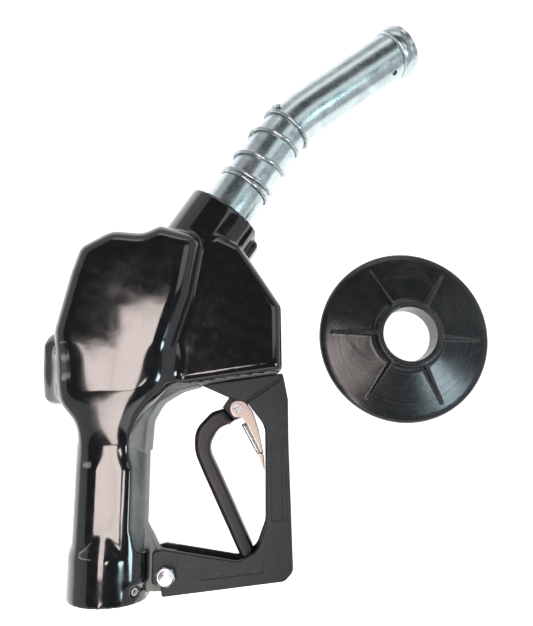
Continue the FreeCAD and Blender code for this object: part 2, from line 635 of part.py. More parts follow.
def make_lever():
    """The lever: a steel arm whose lower end is the core of a moulded grip."""
    top = plate("lever_plate_top", LEVER_TOP, "lever_plate", 0.6)
    core = plate("lever_core", inset(GRIP, 2.4), 5)
    tongue = plate("lever_tongue", [(61, 99), (67, 95), (74, 101), (68, 108)], 5)
    arm = fuse("lever_arm_blank", top, core, tongue)
    cut("lever_arm", arm,
        cylinder("lever_pivot_hole", "pivot_pin_d / 2 + running_gap", 20, PIVOT - Z * 10, Z),
        cylinder("lever_rivet_hole", "rivet_d / 2 + running_gap", 20, CLIP_RIVET - Z * 10, Z))
    grip = plate("grip_blank", GRIP, "grip_depth", 3)
    cut("lever_grip", grip, fuse("grip_core", core, tongue))


def make_clip():
    """The hold-open clip: two cheeks, a folded spine and a pointed tip, on its rivet."""
    outside = plate("clip_blank", CLIP, "clip_width")
    space = plate("clip_space", CLIP, "clip_width - 2 * clip_sheet")
    spine = plate("clip_spine", CLIP_SPINE, "clip_width")
    tip = plate("clip_tip", CLIP_TIP, 2, 0, 3)
    clip = fuse("clip_sheet_metal", cut("clip_cheeks", outside, space), spine, tip)
    cut("hold_open_clip", clip,
        cylinder("clip_hole", "rivet_d / 2 + running_gap", 20, CLIP_RIVET - Z * 10, Z))
    heads = [cylinder(f"rivet_head_{side + 1}", 3, 0.3, CLIP_RIVET + Z * base, Z)
             for side, base in ((1, 7.1), (-1, -7.4))]
    fuse("clip_rivet", cylinder("rivet_shank", "rivet_d / 2", 14.2, CLIP_RIVET - Z * 7.1, Z), *heads)
    ring("clip_spring", 3.6, 2.5, 1.2, CLIP_RIVET + Z * 4.2, Z)


def make_splash_guard():
    """The loose splash guard: a shallow rubber dish with a hub and six ribs."""
    base = DISC_CENTRE + Z * DISC_FLOOR
    outside = cone("disc_outside", "disc_od / 2", "disc_od / 2 - 3", 5, base, Z)
    dish = cone("disc_dish", "disc_od / 2 - 3", "disc_hub_od / 2 + 2", 7, base + Z * 5, Z)
    hollow = cone("disc_hollow", "disc_od / 2 - 2.2", "disc_hub_od / 2 - 1", 9, base, Z)
    hub = cylinder("disc_hub", "disc_hub_od / 2", "disc_hub_length", base, Z)
    bore = cylinder("disc_bore_hole", "disc_bore / 2", 40, base - Z * 5, Z)
    shell = cut("disc_shell", fuse("disc_blank", outside, dish), hollow)
    ribs = []
    for number in range(6):
        turn = Rotation(Z, 60 * number - 3)
        fin = Part.makePolygon([Vector(20, 0, 9), Vector(20, 0, 19), Vector(45, 0, 7.2),
                                Vector(45, 0, 5.5), Vector(20, 0, 9)])
        rib = doc.addObject("Part::Feature", f"disc_rib_{number}")
        rib.Shape = Part.Face(fin).extrude(Vector(0, 2.4, 0))
        rib.Placement = Placement(base + turn.multVec(Vector(0, -1.2, 0)), turn)
        ribs.append(rib)
    cut("splash_guard", fuse("disc_solid", shell, hub, *ribs), bore)


def export(nodes):
    """Checks the document and every named piece, then writes one STEP file for each."""
    doc.recompute()
    failed = [item.Name for item in doc.Objects if {"Invalid", "Error"} & set(item.State)]
    if failed:
        raise RuntimeError("failed: " + ", ".join(failed))
    os.makedirs("parts", exist_ok=True)
    for node in nodes:
        item = doc.getObject(node)
        item.Label = node
        shape = item.Shape
        if shape.isNull() or not shape.isValid() or not shape.Solids:
            raise RuntimeError(f"{node} has no valid solid")
        shape.exportStep(f"parts/{node}.step")
        print(f"{node:20s} {len(shape.Solids)} solids {shape.Volume / 1000:9.2f} cm3")


make_casting()
make_cover(doc.getObject("casting_solid"))
make_inlet_screw()
make_main_valve()
make_trip()
make_spout()
make_guard()
make_lever()
make_clip()
make_splash_guard()

PIECES = [
    "body_casting", "hand_cover", "inlet_screw", "poppet_cap", "cap_seal", "main_spring",
    "main_poppet", "poppet_disc", "main_stem", "valve_seat", "stem_packing", "packing_nut",
    "trip_stem", "lever_pin", "latch_balls", "trip_spring", "latch_pin", "diaphragm",
    "diaphragm_spring", "diaphragm_cap", "cap_screws", "spout_tube", "spout_sleeve", "spout_collar", "spout_spring",
    "spout_seal", "spout_screw", "check_seat", "check_poppet", "check_spring", "check_guide",
    "sensing_tube", "lever_guard", "guard_bolt", "guard_nut", "guard_screw", "lever_arm",
    "lever_grip", "hold_open_clip", "clip_rivet", "clip_spring", "splash_guard",
]

export(PIECES)
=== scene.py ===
"""The looks of a fuel nozzle that lies on its side, with its loose splash guard beside it.

Everything is in metres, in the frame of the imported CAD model: z = 0 is the nozzle's
mid-plane, +Z the side that faces up, and the floor lies under the splash guard.
"""

import json
import math

import bmesh
import bpy
from mathutils import Matrix, Vector, noise
from mathutils.geometry import intersect_line_line


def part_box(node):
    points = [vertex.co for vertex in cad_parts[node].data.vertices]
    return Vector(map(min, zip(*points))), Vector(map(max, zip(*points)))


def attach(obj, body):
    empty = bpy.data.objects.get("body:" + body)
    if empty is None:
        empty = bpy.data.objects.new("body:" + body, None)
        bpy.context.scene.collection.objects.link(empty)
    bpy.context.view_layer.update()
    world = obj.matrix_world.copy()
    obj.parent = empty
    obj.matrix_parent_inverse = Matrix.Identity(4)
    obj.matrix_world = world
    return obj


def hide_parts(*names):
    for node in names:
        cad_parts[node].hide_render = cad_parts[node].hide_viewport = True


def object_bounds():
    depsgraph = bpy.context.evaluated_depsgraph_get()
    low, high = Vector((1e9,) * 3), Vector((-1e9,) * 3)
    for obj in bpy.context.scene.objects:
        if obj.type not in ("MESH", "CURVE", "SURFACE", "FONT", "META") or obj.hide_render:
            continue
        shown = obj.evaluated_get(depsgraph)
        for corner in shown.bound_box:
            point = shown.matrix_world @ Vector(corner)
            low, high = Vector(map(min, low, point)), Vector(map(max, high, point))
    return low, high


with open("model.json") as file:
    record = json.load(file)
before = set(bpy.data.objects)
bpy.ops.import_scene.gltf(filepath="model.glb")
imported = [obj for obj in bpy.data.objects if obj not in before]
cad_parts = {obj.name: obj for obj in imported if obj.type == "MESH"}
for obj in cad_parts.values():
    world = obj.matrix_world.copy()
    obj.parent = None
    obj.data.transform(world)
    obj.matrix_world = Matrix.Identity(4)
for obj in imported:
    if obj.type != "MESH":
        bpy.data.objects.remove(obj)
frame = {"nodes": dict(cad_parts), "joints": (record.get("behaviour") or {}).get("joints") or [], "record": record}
cad_low, cad_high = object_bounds()

MM = 0.001
X = Vector((1, 0, 0))
Y = Vector((0, 1, 0))
Z = Vector((0, 0, 1))

joints = {joint["name"]: joint for joint in frame["joints"]}
mounts = {mount["name"]: mount for mount in frame["record"]["mounts"]}


def mm(*values):
    """A point or direction given in millimetres."""
    return Vector(values) * MM


def centre(node):
    """The middle of a CAD node's box."""
    low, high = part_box(node)
    return (low + high) / 2


# Meshes ------------------------------------------------------------------------------


def piece(name, mesh):
    """A new object in the scene."""
    obj = bpy.data.objects.new(name, mesh)
    bpy.context.scene.collection.objects.link(obj)
    return obj


def mesh_piece(name, points, faces):
    """A new object from points in metres and faces that number them."""
    mesh = bpy.data.meshes.new(name)
    mesh.from_pydata([tuple(point) for point in points], [], faces)
    mesh.validate()
    mesh.update()
    return piece(name, mesh)


def block(name, points):
    """A block from its eight corners: four round one end, then four round the other."""
    faces = [(0, 1, 2, 3), (7, 6, 5, 4), (0, 4, 5, 1), (1, 5, 6, 2), (2, 6, 7, 3), (3, 7, 4, 0)]
    return mesh_piece(name, points, faces)


def finished(obj):
    """Applies the piece's modifiers, so that its mesh is final, and shades it smooth."""
    depsgraph = bpy.context.evaluated_depsgraph_get()
    mesh = bpy.data.meshes.new_from_object(obj.evaluated_get(depsgraph))
    mesh.name = obj.name
    obj.modifiers.clear()
    obj.data = mesh
    mesh.polygons.foreach_set("use_smooth", [True] * len(mesh.polygons))
    return obj


def fuse(obj, voxel, passes):
    """Makes one skin of everything in the piece and rounds its edges a little."""
    remesh = obj.modifiers.new("skin", "REMESH")
    remesh.mode = "VOXEL"
    remesh.voxel_size = voxel
    smooth = obj.modifiers.new("round", "SMOOTH")
    smooth.factor = 0.5
    smooth.iterations = passes
    return finished(obj)


def soften(obj, low, high, passes):
    """Smooths the piece further inside a box of x, y and |z| in millimetres, fading near its sides."""
    fade = 8.0
    group = obj.vertex_groups.new(name="soft")
    for vertex in obj.data.vertices:
        place = vertex.co / MM
        spot = (place.x, place.y, abs(place.z))
        inside = min(min(value - start, stop - value) for value, start, stop in zip(spot, low, high))
        if inside > 0:
            group.add([vertex.index], min(inside / fade, 1.0), "REPLACE")
    smooth = obj.modifiers.new("soft", "SMOOTH")
    smooth.vertex_group = "soft"
    smooth.factor = 0.5
    smooth.iterations = passes
    return finished(obj)


def copy_of(node, name):
    """A new piece with the mesh of a CAD node."""
    return piece(name, frame["nodes"][node].data.copy())


def join(name, parts):
    """One piece made of several."""
    joined = bmesh.new()
    for part in parts:
        joined.from_mesh(part.data)
        bpy.data.objects.remove(part)
    mesh = bpy.data.meshes.new(name)
    joined.to_mesh(mesh)
    joined.free()
    return piece(name, mesh)


def axes(along):
    """Two directions square to a direction and to each other."""
    along = along.normalized()
    first = along.orthogonal().normalized()
    return first, along.cross(first)


def tidy_normals(obj):
    """Merges points that coincide and turns every face outwards."""
    work = bmesh.new()
    work.from_mesh(obj.data)
    bmesh.ops.remove_doubles(work, verts=work.verts, dist=1e-6)
    bmesh.ops.recalc_face_normals(work, faces=work.faces)
    work.to_mesh(obj.data)
    work.free()


def lathe(name, profile, base, along, segments=128):
    """Turns a closed outline of (radius, height) about an axis."""
    first, second = axes(along)
    along = along.normalized()
    points, faces = [], []
    rows = len(profile)
    for step in range(segments):
        angle = math.tau * step / segments
        out = first * math.cos(angle) + second * math.sin(angle)
        points += [base + out * radius + along * height for radius, height in profile]
        here, ahead = step * rows, (step + 1) % segments * rows
        for row in range(rows):
            above = (row + 1) % rows
            faces.append((here + row, ahead + row, ahead + above, here + above))
    obj = mesh_piece(name, points, faces)
    tidy_normals(obj)
    return finished(obj)


def tube(name, path, radius, sides=16):
    """A round wire along a path, closed with flat ends."""
    points, faces = [], []
    side = None
    count = len(path)
    for i, place in enumerate(path):
        ahead = path[min(i + 1, count - 1)] - path[max(i - 1, 0)]
        ahead.normalize()
        side = ahead.orthogonal() if side is None else side - ahead * side.dot(ahead)
        side.normalize()
        other = ahead.cross(side)
        for turn in range(sides):
            angle = math.tau * turn / sides
            points.append(place + (side * math.cos(angle) + other * math.sin(angle)) * radius)
    for i in range(count - 1):
        here, ahead = i * sides, (i + 1) * sides
        for turn in range(sides):
            after = (turn + 1) % sides
            faces.append((here + turn, here + after, ahead + after, ahead + turn))
    faces.append(tuple(reversed(range(sides))))
    faces.append(tuple(range((count - 1) * sides, count * sides)))
    obj = mesh_piece(name, points, faces)
    tidy_normals(obj)
    return finished(obj)


def shade_by_angle(obj, degrees=28):
    """Keeps edges sharper than an angle crisp in the shading."""
    work = bmesh.new()
    work.from_mesh(obj.data)
    limit = math.radians(degrees)
    for edge in work.edges:
        edge.smooth = not (len(edge.link_faces) == 2 and edge.calc_face_angle(0) > limit)
    for face in work.faces:
        face.smooth = True
    work.to_mesh(obj.data)
    work.free()


def rounded_outline(corners, steps=7):
    """The points of an outline of (x, y, radius) corners, in millimetres, with its arcs."""
    points = []
    count = len(corners)
    for i, (x, y, radius) in enumerate(corners):
        here = Vector((x, y))
        back = Vector(corners[i - 1][:2]) - here
        ahead = Vector(corners[(i + 1) % count][:2]) - here
        back.normalize()
        ahead.normalize()
        half = back.angle(ahead) / 2
        if not radius:
            points.append(here)
            continue
        middle = here + (back + ahead).normalized() * (radius / math.sin(half))
        first = here + back * (radius / math.tan(half)) - middle
        sweep = (math.pi - 2 * half) * math.copysign(1, -back.cross(ahead))
        for step in range(steps + 1):
            points.append(middle + Matrix.Rotation(sweep * step / steps, 2) @ first)
    return points


def slab(name, corners, low, high, bevel=0.0, clamp=True):
    """A plate between two heights, in millimetres, with its rim rounded."""
    outline = rounded_outline(corners)
    work = bmesh.new()
    floor = [work.verts.new((point.x * MM, point.y * MM, low * MM)) for point in outline]
    face = work.faces.new(floor)
    grown = bmesh.ops.extrude_face_region(work, geom=[face])
    raised = [item for item in grown["geom"] if isinstance(item, bmesh.types.BMVert)]
    bmesh.ops.translate(work, verts=raised, vec=(0, 0, (high - low) * MM))
    bmesh.ops.recalc_face_normals(work, faces=work.faces)
    mesh = bpy.data.meshes.new(name)
    work.to_mesh(mesh)
    work.free()
    obj = piece(name, mesh)
    if bevel:
        rim = obj.modifiers.new("rim", "BEVEL")
        rim.width = bevel * MM
        rim.segments = 3
        rim.use_clamp_overlap = clamp
        rim.limit_method = "ANGLE"
        rim.angle_limit = math.radians(50)
    return finished(obj)


# Finishes ----------------------------------------------------------------------------


class Finish:
    """A material's node tree, with short calls for the nodes that the finishes share."""

    def __init__(self, name, **constants):
        self.material = bpy.data.materials.new(name)
        self.material.use_nodes = True
        self.nodes = self.material.node_tree.nodes
        self.links = self.material.node_tree.links
        self.shader = self.nodes["Principled BSDF"]
        self.place = self.nodes.new("ShaderNodeTexCoord").outputs["Object"]
        for socket, value in constants.items():
            self.shader.inputs[socket.replace("_", " ")].default_value = value

    def add(self, kind, values=(), links=()):
        """A node with some of its sockets set and some of them linked."""
        node = self.nodes.new(kind)
        for socket, value in dict(values).items():
            node.inputs[socket].default_value = value
        for socket, source in dict(links).items():
            self.links.new(source, node.inputs[socket])
        return node

    def stretched(self, scale, turn=0.0):
        """The place, turned about Z and stretched, for streaks along a direction."""
        values = {"Scale": scale, "Rotation": (0, 0, turn)}
        return self.add("ShaderNodeMapping", values, {"Vector": self.place}).outputs["Vector"]

    def noise(self, scale, detail, rough, place=None, warp=0.0):
        """Cloudy noise from 0 to 1, with so many features in a metre."""
        values = {"Scale": scale, "Detail": detail, "Roughness": rough, "Distortion": warp}
        node = self.add("ShaderNodeTexNoise", values, {"Vector": place or self.place})
        return node.outputs["Fac"]

    def cells(self, scale):
        """Crystal cells: the distance from the middle of each."""
        node = self.add("ShaderNodeTexVoronoi", {"Scale": scale}, {"Vector": self.place})
        return node.outputs["Distance"]

    def ramp(self, value, low, high, first=0.0, last=1.0):
        """Runs from first to last while the value runs from low to high."""
        values = {"From Min": low, "From Max": high, "To Min": first, "To Max": last}
        return self.add("ShaderNodeMapRange", values, {"Value": value}).outputs["Result"]

    def sum(self, one, other, operation="ADD"):
        """The sum, or the product, of two values, each a number or a node's output."""
        node = self.nodes.new("ShaderNodeMath")
        node.operation = operation
        for socket, value in zip(node.inputs, (one, other)):
            if isinstance(value, (int, float)):
                socket.default_value = value
            else:
                self.links.new(value, socket)
        return node.outputs["Value"]

    def mix(self, share, first, second):
        """A colour between two, each a colour or another node's output."""
        node = self.nodes.new("ShaderNodeMix")
        node.data_type = "RGBA"
        self.links.new(share, node.inputs["Factor"])
        for socket, colour in ((node.inputs[6], first), (node.inputs[7], second)):
            if isinstance(colour, tuple):
                socket.default_value = (*colour, 1.0)
            else:
                self.links.new(colour, socket)
        return node.outputs[2]

    def edges(self, radius):
        """Near 1 where an edge is sharper than the radius, near 0 on the flat."""
        bevel = self.add("ShaderNodeBevel", {"Radius": radius})
        bevel.samples = 6
        normal = self.nodes.new("ShaderNodeNewGeometry").outputs["Normal"]
        dot = self.nodes.new("ShaderNodeVectorMath")
        dot.operation = "DOT_PRODUCT"
        self.links.new(bevel.outputs["Normal"], dot.inputs[0])
        self.links.new(normal, dot.inputs[1])
        return self.ramp(dot.outputs["Value"], 0.995, 0.9)

    def relief(self, *layers):
        """Bumps the surface by (height, depth) layers, over a slight rounding of its edges."""
        normal = self.add("ShaderNodeBevel", {"Radius": 0.25 * MM}).outputs["Normal"]
        for height, depth in layers:
            values = {"Strength": 1.0, "Distance": depth}
            node = self.add("ShaderNodeBump", values, {"Height": height, "Normal": normal})
            normal = node.outputs["Normal"]
        self.links.new(normal, self.shader.inputs["Normal"])

    def use(self, **outputs):
        """Feeds the shader's sockets."""
        for socket, source in outputs.items():
            self.links.new(source, self.shader.inputs[socket.replace("_", " ")])


def cover_vinyl():
    """Glossy dipped vinyl: a slow ripple, fine orange peel, dull patches and hairline scuffs."""
    f = Finish("cover_vinyl", IOR=1.56, Coat_Weight=0.5, Coat_Roughness=0.05, Coat_IOR=1.5)
    patches = f.noise(38, 3, 0.6)
    grease = f.noise(160, 5, 0.62, warp=0.6)
    scuffs = f.noise(900, 2, 0.5, f.stretched((1, 0.06, 1), 0.5))
    scuff_mask = f.sum(f.ramp(scuffs, 0.66, 0.72), f.ramp(patches, 0.48, 0.62), "MULTIPLY")
    rough = f.sum(f.ramp(patches, 0.35, 0.7, 0.07, 0.13), f.ramp(grease, 0.45, 0.75, 0.0, 0.06))
    f.use(Base_Color=f.mix(f.ramp(grease, 0.4, 0.8), (0.0035, 0.004, 0.005), (0.009, 0.0095, 0.011)),
          Roughness=f.sum(rough, f.sum(scuff_mask, 0.12, "MULTIPLY")))
    f.relief((f.noise(32, 1.5, 0.4), 0.35 * MM), (f.noise(650, 2, 0.5), 0.008 * MM))
    return f.material


def cast_metal():
    """Matt grey coating on a sand casting, rubbed lighter along the edges."""
    f = Finish("cast_metal", Metallic=0.25, IOR=1.5)
    grain = f.noise(1500, 6, 0.65)
    blotch = f.noise(75, 5, 0.6, warp=0.8)
    coat = f.mix(f.ramp(blotch, 0.32, 0.68), (0.088, 0.100, 0.096), (0.185, 0.200, 0.190))
    coat = f.mix(f.ramp(grain, 0.58, 0.75, 0.0, 0.5), coat, (0.30, 0.31, 0.29))
    worn = f.sum(f.edges(1.2 * MM), f.ramp(blotch, 0.4, 0.6), "MULTIPLY")
    f.use(Base_Color=f.mix(worn, coat, (0.36, 0.37, 0.35)),
          Roughness=f.ramp(blotch, 0.3, 0.7, 0.42, 0.62))
    f.relief((grain, 0.05 * MM), (f.noise(320, 4, 0.6), 0.12 * MM))
    return f.material


def plated(name, bright, dull, spangle, rough=(0.16, 0.36), paint=None):
    """Zinc or other bright plating: crystal spangle, dull blooms and brighter, worn edges."""
    f = Finish(name, Metallic=1.0)
    bloom = f.noise(spangle * 0.35, 5, 0.62, warp=1.0)
    flake = f.cells(spangle)
    share = f.sum(f.ramp(bloom, 0.3, 0.7), f.ramp(flake, 0.1, 0.7, 0.0, 0.35))
    colour = f.mix(share, bright, dull)
    colour = f.mix(f.sum(f.edges(0.5 * MM), 0.6, "MULTIPLY"), colour, (0.86, 0.87, 0.88))
    if paint:
        spot, size, shade = paint
        offset = f.add("ShaderNodeVectorMath", {1: spot}, {0: f.place})
        offset.operation = "DISTANCE"
        ragged = f.sum(offset.outputs["Value"], f.ramp(bloom, 0.3, 0.7, -0.3 * size, 0.3 * size))
        colour = f.mix(f.ramp(ragged, size, size * 0.75), colour, shade)
    f.use(Base_Color=colour, Roughness=f.ramp(bloom, 0.3, 0.72, *rough))
    f.relief((bloom, 0.02 * MM), (f.noise(spangle * 6, 3, 0.6), 0.006 * MM))
    return f.material


def spout_metal():
    """Drawn and plated tube: blue-grey mottling, lengthways drawing lines and rubbed patches."""
    f = Finish("spout_metal", Metallic=1.0)
    along = math.atan2(high_axis.y, high_axis.x)
    drawn = f.noise(420, 3, 0.6, f.stretched((0.05, 1, 1), -along))
    mottle = f.noise(62, 7, 0.66, warp=1.4)
    frost = f.noise(900, 4, 0.7)
    colour = f.mix(f.ramp(mottle, 0.34, 0.66), (0.38, 0.46, 0.475), (0.60, 0.655, 0.66))
    colour = f.mix(f.ramp(frost, 0.56, 0.72, 0.0, 0.3), colour, (0.66, 0.70, 0.70))
    colour = f.mix(f.sum(f.ramp(drawn, 0.6, 0.74), 0.3, "MULTIPLY"), colour, (0.30, 0.34, 0.35))
    rough = f.sum(f.ramp(mottle, 0.3, 0.7, 0.20, 0.32), f.ramp(frost, 0.5, 0.75, 0.0, 0.10))
    f.use(Base_Color=colour, Roughness=rough)
    f.relief((mottle, 0.022 * MM), (drawn, 0.014 * MM), (frost, 0.006 * MM))
    return f.material


def moulded(name, dark, light, rough, speck, speck_colour, grain, depth, painted_edge_shade=None):
    """A moulded plastic or rubber with a fine grain and paler specks. Its edges are rubbed paler; where a dark
    edge colour is given, they carry painted shade instead.
    """
    f = Finish(name, IOR=1.4)
    fine = f.noise(grain, 5, 0.6)
    cloud = f.noise(45, 5, 0.6, warp=0.7)
    colour = f.mix(f.ramp(cloud, 0.3, 0.7), dark, light)
    colour = f.mix(f.ramp(f.noise(grain * 0.6, 2, 0.5), speck, speck + 0.06, 0.0, 0.8), colour, speck_colour)
    # Rubs the edges paler in the speck colour; a given dark edge colour paints shade along them instead.
    colour = f.mix(f.sum(f.edges(0.8 * MM), f.ramp(cloud, 0.35, 0.6, 0.15, 0.6), "MULTIPLY"),
                   colour, painted_edge_shade or speck_colour)
    f.use(Base_Color=colour, Roughness=f.ramp(f.sum(fine, cloud), 0.75, 1.25, *rough))
    f.relief((fine, depth), (cloud, 0.05 * MM))
    return f.material


def disc_rubber():
    """Satin rubber with faint rings from its mould and cloudy, handled patches."""
    f = Finish("disc_rubber", IOR=1.5)
    offset = f.add("ShaderNodeVectorMath", {1: tuple(centre("splash_guard"))}, {0: f.place})
    offset.operation = "SUBTRACT"
    flat = f.add("ShaderNodeVectorMath", {1: (1, 1, 0)}, {0: offset.outputs["Vector"]})
    flat.operation = "MULTIPLY"
    length = f.nodes.new("ShaderNodeVectorMath")
    length.operation = "LENGTH"
    f.links.new(flat.outputs["Vector"], length.inputs[0])
    radius = length.outputs["Value"]
    rings = f.add("ShaderNodeTexNoise", {"Scale": 620.0, "Detail": 3.0})
    rings.noise_dimensions = "1D"
    f.links.new(radius, rings.inputs["W"])
    cloud = f.noise(34, 5, 0.6, warp=1.2)
    fine = f.noise(2200, 3, 0.6)
    ring = rings.outputs["Fac"]
    f.use(Base_Color=f.mix(f.ramp(cloud, 0.3, 0.7), (0.006, 0.0075, 0.009), (0.017, 0.019, 0.020)),
          Roughness=f.sum(f.ramp(cloud, 0.3, 0.7, 0.17, 0.26), f.ramp(ring, 0.3, 0.7, 0, 0.07)))
    f.relief((ring, 0.008 * MM), (cloud, 0.35 * MM), (fine, 0.006 * MM))
    return f.material


# The spout's axis: two straight runs and the arc between them --------------------------

low_axis = Vector(joints["check_lift"]["axis"]).normalized()
high_axis = Vector(mounts["spout_end"]["axis"]).normalized()
low_point = centre("check_seat")
high_point = Vector(mounts["spout_end"]["pos_m"])
bend = intersect_line_line(low_point, low_point + low_axis, high_point, high_point + high_axis)[0]
bend_angle = low_axis.angle(high_axis)
BEND_RADIUS = 110 * MM
bend_run = BEND_RADIUS * math.tan(bend_angle / 2)
TUBE_RADIUS = 15.08 * MM
WIRE_RADIUS = 1.1 * MM


def spout_frame(distance):
    """The axis point, its direction and the side direction, so far past the bend's middle."""
    past = distance + bend_run
    turn = min(max(past / BEND_RADIUS, 0), bend_angle)
    ahead = Matrix.Rotation(-turn, 3, "Z") @ low_axis
    side = Vector((ahead.y, -ahead.x, 0))
    first_side = Vector((low_axis.y, -low_axis.x, 0))
    start = bend - low_axis * bend_run
    hub = start + first_side * BEND_RADIUS
    place = hub - side * BEND_RADIUS
    if past < 0:
        place = start + low_axis * past
    elif past > BEND_RADIUS * bend_angle:
        place = place + ahead * (past - BEND_RADIUS * bend_angle)
    return place, ahead, side


finishes = {
    "cover_vinyl": cover_vinyl(),
    "cast_metal": cast_metal(),
    "zinc_steel": plated("zinc_steel", (0.74, 0.76, 0.78), (0.42, 0.45, 0.48), 420),
    "spout_metal": spout_metal(),
    "wire_steel": plated("wire_steel", (0.58, 0.62, 0.63), (0.36, 0.41, 0.43), 500, (0.16, 0.30)),
    # guard_composite: its dark edge colour paints shade along the guard's edges.
    "guard_composite": moulded("guard_composite", (0.012, 0.0155, 0.0175), (0.024, 0.0285, 0.031),
                               rough=(0.40, 0.58), speck=0.62, speck_colour=(0.050, 0.058, 0.063),
                               grain=1500, depth=0.09 * MM, painted_edge_shade=(0.004, 0.005, 0.006)),
    "lever_black": moulded("lever_black", (0.005, 0.0053, 0.006), (0.009, 0.009, 0.0095),
                           rough=(0.30, 0.42), speck=0.74, speck_colour=(0.035, 0.034, 0.034),
                           grain=1500, depth=0.012 * MM),
    "clip_zinc": plated("clip_zinc", (0.46, 0.45, 0.33), (0.42, 0.35, 0.33), 60, (0.30, 0.44)),
    "brass": plated("brass", (0.74, 0.56, 0.27), (0.52, 0.37, 0.16), 300),
    "inner_steel": plated("inner_steel", (0.60, 0.61, 0.63), (0.38, 0.39, 0.41), 350),
    "rubber_seal": moulded("rubber_seal", (0.012, 0.012, 0.012), (0.022, 0.021, 0.020),
                           rough=(0.5, 0.7), speck=0.72, speck_colour=(0.05, 0.05, 0.05),
                           grain=1800, depth=0.01 * MM),
    "disc_rubber": disc_rubber(),
}


def dress(obj, slot):
    """Gives a piece one finish."""
    obj.data.materials.clear()
    obj.data.materials.append(finishes[slot])


def place_piece(obj, body, slot, *replaced):
    """Gives a new piece its finish, its body and the CAD nodes that it stands for."""
    dress(obj, slot)
    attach(obj, body)
    if replaced:
        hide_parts(*replaced)
    return obj


def dress_cad_nodes():
    """Gives each CAD node the finish of its slot in the record."""
    for part in frame["record"]["subparts"]:
        node = frame["nodes"][part["node"]]
        finish = finishes[part["material_slot"]]
        if not node.data.materials:
            node.data.materials.append(finish)
        for slot in node.material_slots:
            slot.material = finish


# Pieces ------------------------------------------------------------------------------


def hand_cover():
    """The dipped cover: its forms run into each other and its skin ripples a little."""
    dome_foot = (-60, 72, 9), (42, 140, 60)
    inlet_end = (-12, 14, 9), (18, 56, 60)
    ripple = 0.1 * MM
    obj = fuse(copy_of("hand_cover", "hand_cover_moulded"), voxel=1.0 * MM, passes=9)
    obj = soften(obj, *dome_foot, passes=200)
    obj = soften(obj, *inlet_end, passes=70)
    places = [vertex.co.copy() for vertex in obj.data.vertices]
    normals = [vertex.normal.copy() for vertex in obj.data.vertices]
    moved = []
    for place, normal in zip(places, normals):
        wave = noise.noise(place * 34) + 0.4 * noise.noise(place * 90) - 1.1
        moved.extend(place + normal * (ripple * wave))
    obj.data.vertices.foreach_set("co", moved)
    obj.data.update()
    place_piece(obj, "housing", "cover_vinyl", "hand_cover")


def lever_grip():
    """The moulded grip: one even bar that bends round in a wide arc, with soft edges."""
    outline = [(64.0, 104.6, 1.2), (56.8, 102.4, 9), (47.4, 92.5, 13), (47.0, 80, 24), (53.2, 66.3, 60),
               (73.6, 23.6, 2), (75.6, 19.6, 2), (82.0, 22.2, 2), (80.9, 28.0, 2), (62.8, 66.8, 60),
               (55.0, 82.6, 11), (60.8, 92.8, 9), (69.9, 97.0, 0.8)]
    low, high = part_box("lever_grip")
    bar = slab("lever_grip_moulded", outline, low.z / MM, high.z / MM, bevel=2.6, clamp=False)
    obj = fuse(bar, voxel=0.45 * MM, passes=6)
    place_piece(obj, "lever", "lever_black", "lever_grip")


def spout_spring():
    """A right-hand wire coil: closed turns at the neck, open ones up to the bend."""
    behind = [50.9, 50.7, 48.5, 34.0, 15.4, 2.2, -0.6]
    ring = TUBE_RADIUS + WIRE_RADIUS + 0.12 * MM
    steps = 72
    turns = 5.6
    first_turn = 0.3

    def crossing(turn):
        """Millimetres behind the bend's middle after so many turns."""
        low = min(max(int(turn), 0), len(behind) - 2)
        share = turn - low
        return behind[low] * (1 - share) + behind[low + 1] * share

    path = []
    for step in range(int(turns * steps)):
        turn = first_turn + step / steps
        near = [crossing(turn + shift / 20) for shift in range(-3, 4)]
        place, ahead, side = spout_frame(-sum(near) / len(near) * MM)
        angle = math.tau * (turn - 0.25)
        path.append(place + (side * math.cos(angle) - Z * math.sin(angle)) * ring)
    place_piece(tube("spout_spring_wire", path, WIRE_RADIUS), "housing", "wire_steel", "spout_spring")


def spout_collar():
    """The turned collar near the spout's end: a bevel, a land, a groove and a thin lip."""
    length = 8.0
    low, high = high_point - high_axis * length / 2 * MM, high_axis
    outer = mounts["spout_end"]["dims"]["r_mm"]
    bore = 15.06
    outline = [(bore, 0), (15.5, 0), (outer - 1.1, 0.25), (outer - 0.35, 0.7), (outer, 1.5),
               (outer, length - 2.1), (outer - 0.2, length - 1.75), (outer - 0.75, length - 1.6),
               (outer - 0.8, length - 1.25), (outer - 0.45, length - 1.0), (outer - 0.55, length - 0.5),
               (outer - 1.2, length), (bore, length)]
    profile = [(radius * MM, height * MM) for radius, height in outline]
    obj = lathe("spout_collar_turned", profile, low, high, 160)
    place_piece(obj, "housing", "spout_metal", "spout_collar")


def hex_solid(name, flats, height, base, up, chamfer=0.5, dish=0.0):
    """A hexagonal head with its corners turned off, as on a formed bolt or nut."""
    first, second = axes(up)
    rows = 14
    steps = 96
    half = flats / 2
    points, faces = [], []
    for step in range(steps):
        angle = math.tau * step / steps
        edge = half / math.cos((angle % (math.tau / 6)) - math.pi / 6)
        out = first * math.cos(angle) + second * math.sin(angle)
        points.append(base + out * edge)
        for row in range(rows):
            radius = edge * (1 - row / rows)
            drop = max(0.0, radius - half * 0.93) * chamfer
            sink = dish * max(0.0, 1 - (radius / (half * 0.8)) ** 2)
            points.append(base + out * radius + up * (height - drop - sink))
    points.append(base + up * (height - dish))
    points.append(base)
    top, bottom = len(points) - 2, len(points) - 1
    span = rows + 1
    for step in range(steps):
        here, ahead = step * span, (step + 1) % steps * span
        for row in range(rows):
            faces.append((here + row, ahead + row, ahead + row + 1, here + row + 1))
        faces.append((here + rows, ahead + rows, top))
        faces.append((ahead, here, bottom))
    obj = mesh_piece(name, points, faces)
    tidy_normals(obj)
    return finished(obj)


